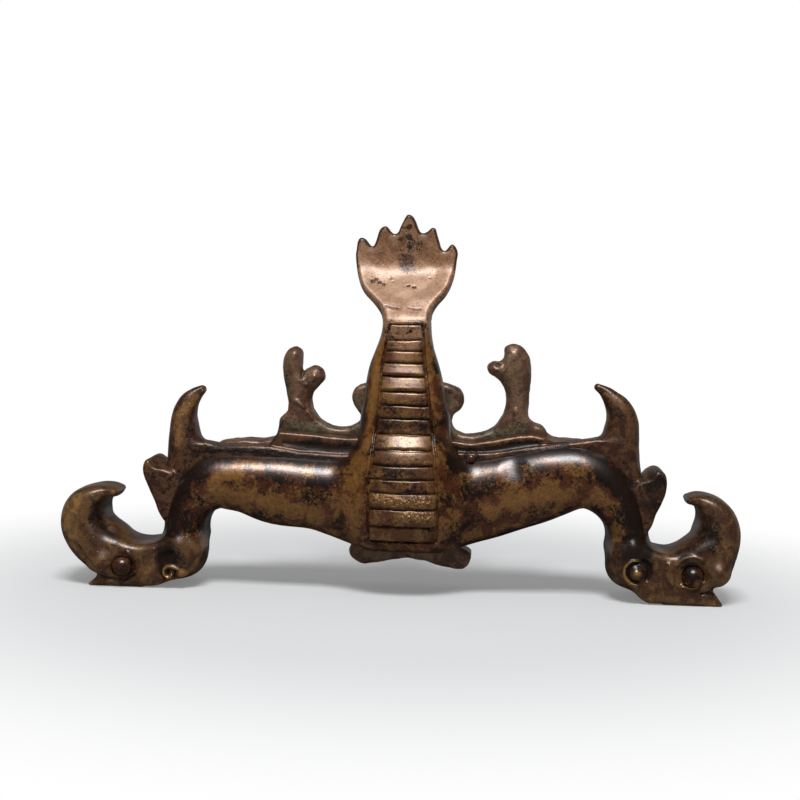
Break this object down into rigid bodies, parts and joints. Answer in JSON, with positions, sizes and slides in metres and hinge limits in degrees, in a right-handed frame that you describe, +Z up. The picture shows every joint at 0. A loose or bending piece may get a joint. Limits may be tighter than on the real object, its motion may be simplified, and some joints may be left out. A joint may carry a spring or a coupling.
{
  "type": "brush rest",
  "caption": "Cast bronze brush rest shaped as a two-headed dragon with arched necks and an upright fan tail, holding brushes in its snout crooks and notches.",
  "frame": {"origin": "centre of the outer box on the table that the rest stands on", "axes": "+X to the right along the rest as seen from its front, +Y from the scute side to the back plate, +Z up"},
  "size_m": [0.164, 0.0262, 0.0917],
  "materials": {
    "polished_bronze": "hand-rubbed golden brown bronze with dark speckles",
    "brown_bronze": "brown bronze with golden worn edges",
    "coppery_bronze": "rubbed coppery bronze with fine pits",
    "rough_bronze": "rough grey brown bronze with some verdigris",
    "eye_bronze": "reddish bronze bead",
    "rivet_bronze": "filed bronze"
  },
  "bodies": {
    "root": {"body": "polished_bronze", "tail_fan": "coppery_bronze", "back_plate": "rough_bronze", "left_neck": "polished_bronze", "right_neck": "polished_bronze", "left_head": "brown_bronze", "right_head": "brown_bronze", "left_crest": "brown_bronze", "right_crest": "brown_bronze", "left_front_eye": "eye_bronze", "right_front_eye": "eye_bronze", "left_rear_eye": "eye_bronze", "right_rear_eye": "eye_bronze", "left_rivet": "rivet_bronze", "right_rivet": "rivet_bronze", "belly_rivet": "rivet_bronze", "stalk_rivet": "rivet_bronze"}
  },
  "joints": []
}
